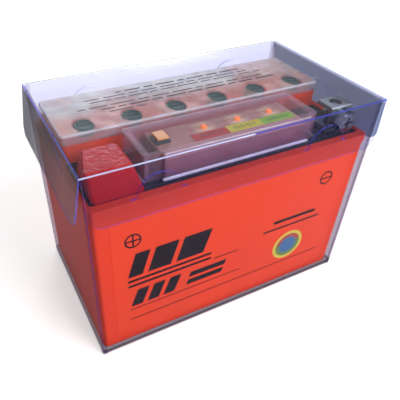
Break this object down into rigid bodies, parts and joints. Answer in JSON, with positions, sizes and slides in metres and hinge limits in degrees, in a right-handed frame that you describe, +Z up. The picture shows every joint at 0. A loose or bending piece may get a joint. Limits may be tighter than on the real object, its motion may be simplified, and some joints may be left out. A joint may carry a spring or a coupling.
{
  "type": "motorcycle battery",
  "caption": "Sealed motorcycle battery with front terminals, vent plugs and a voltage indicator under clear covers, in a clear lift-off box.",
  "frame": {"origin": "centre of the clear box's underside, on the surface it stands on", "axes": "+X along the terminal side to the viewer's right, +Y from the terminal side to the back, +Z up"},
  "size_m": [0.1624, 0.092, 0.1121],
  "materials": {
    "clear_sheet": "clear pressed sheet, faintly blue",
    "case_plastic": "moulded, satin, bright orange red",
    "black_resin": "poured, glossy black",
    "black_rubber": "matt",
    "clear_plastic": "clear moulded",
    "tinted_plastic": "translucent moulded",
    "board": "printed board, pale",
    "chip": "moulded black",
    "scale_print": "printed red, yellow and green strips",
    "lamp": "tinted lens",
    "button_plastic": "moulded orange",
    "terminal_metal": "tin plated",
    "zinc_steel": "zinc plated",
    "red_vinyl": "soft glossy red",
    "lead": "cast, dull",
    "positive_paste": "pasted grid, dark brown",
    "negative_paste": "pasted grid, grey",
    "glass_mat": "white fibre mat",
    "plug_plastic": "moulded dark green"
  },
  "bodies": {
    "battery": {"box_tray": "clear_sheet", "battery_case": "case_plastic", "case_lid": "case_plastic", "terminal_sealant": "black_resin", "plug_seals": "black_rubber", "valve_caps": "black_rubber", "indicator_cover": "clear_plastic", "indicator_housing": "tinted_plastic", "indicator_board": "board", "indicator_chip": "chip", "voltage_scale": "scale_print", "indicator_lamps": "lamp", "test_switch": "chip", "positive_terminal": "terminal_metal", "negative_terminal": "terminal_metal", "terminal_nuts": "zinc_steel", "flat_washer": "zinc_steel", "lock_washer": "zinc_steel", "positive_post": "lead", "negative_post": "lead", "cell_connectors": "lead", "positive_plates": "positive_paste", "negative_plates": "negative_paste", "separators": "glass_mat"},
    "box_lid": {"box_lid": "clear_sheet"},
    "positive_cap": {"positive_cap": "red_vinyl"},
    "vent_cover": {"vent_cover": "clear_plastic"},
    "test_button": {"test_button": "button_plastic"},
    "negative_bolt": {"negative_bolt": "zinc_steel"},
    "vent_plug_1": {"vent_plug_1": "plug_plastic"},
    "vent_plug_2": {"vent_plug_2": "plug_plastic"},
    "vent_plug_3": {"vent_plug_3": "plug_plastic"},
    "vent_plug_4": {"vent_plug_4": "plug_plastic"},
    "vent_plug_5": {"vent_plug_5": "plug_plastic"},
    "vent_plug_6": {"vent_plug_6": "plug_plastic"}
  },
  "joints": [
    {"name": "box_lid_lift", "type": "slide", "parent": "battery", "child": "box_lid", "axis": [0, 0, 1], "range_m": [0, 0.12]},
    {"name": "positive_cap_lift", "type": "slide", "parent": "battery", "child": "positive_cap", "axis": [0, 0, 1], "range_m": [0, 0.0042]},
    {"name": "vent_cover_lift", "type": "slide", "parent": "battery", "child": "vent_cover", "axis": [0, 0, 1], "range_m": [0, 0.0056]},
    {"name": "test_button_press", "type": "slide", "parent": "battery", "child": "test_button", "axis": [0, 0, -1], "range_m": [0, 0.0008], "stiffness_N_per_m": 1500},
    {"name": "negative_bolt_turn", "type": "hinge", "parent": "battery", "child": "negative_bolt", "pos_m": [0.0639, -0.0309, 0.0984], "axis": [0, -1, 0], "continuous": true},
    {"name": "vent_plug_1_turn", "type": "hinge", "parent": "battery", "child": "vent_plug_1", "pos_m": [-0.05845, 0.0073, 0.1043], "axis": [0, 0, 1], "continuous": true},
    {"name": "vent_plug_2_turn", "type": "hinge", "parent": "battery", "child": "vent_plug_2", "pos_m": [-0.03455, 0.0073, 0.1043], "axis": [0, 0, 1], "continuous": true},
    {"name": "vent_plug_3_turn", "type": "hinge", "parent": "battery", "child": "vent_plug_3", "pos_m": [-0.01065, 0.0073, 0.1043], "axis": [0, 0, 1], "continuous": true},
    {"name": "vent_plug_4_turn", "type": "hinge", "parent": "battery", "child": "vent_plug_4", "pos_m": [0.01325, 0.0073, 0.1043], "axis": [0, 0, 1], "continuous": true},
    {"name": "vent_plug_5_turn", "type": "hinge", "parent": "battery", "child": "vent_plug_5", "pos_m": [0.03715, 0.0073, 0.1043], "axis": [0, 0, 1], "continuous": true},
    {"name": "vent_plug_6_turn", "type": "hinge", "parent": "battery", "child": "vent_plug_6", "pos_m": [0.06105, 0.0073, 0.1043], "axis": [0, 0, 1], "continuous": true}
  ]
}
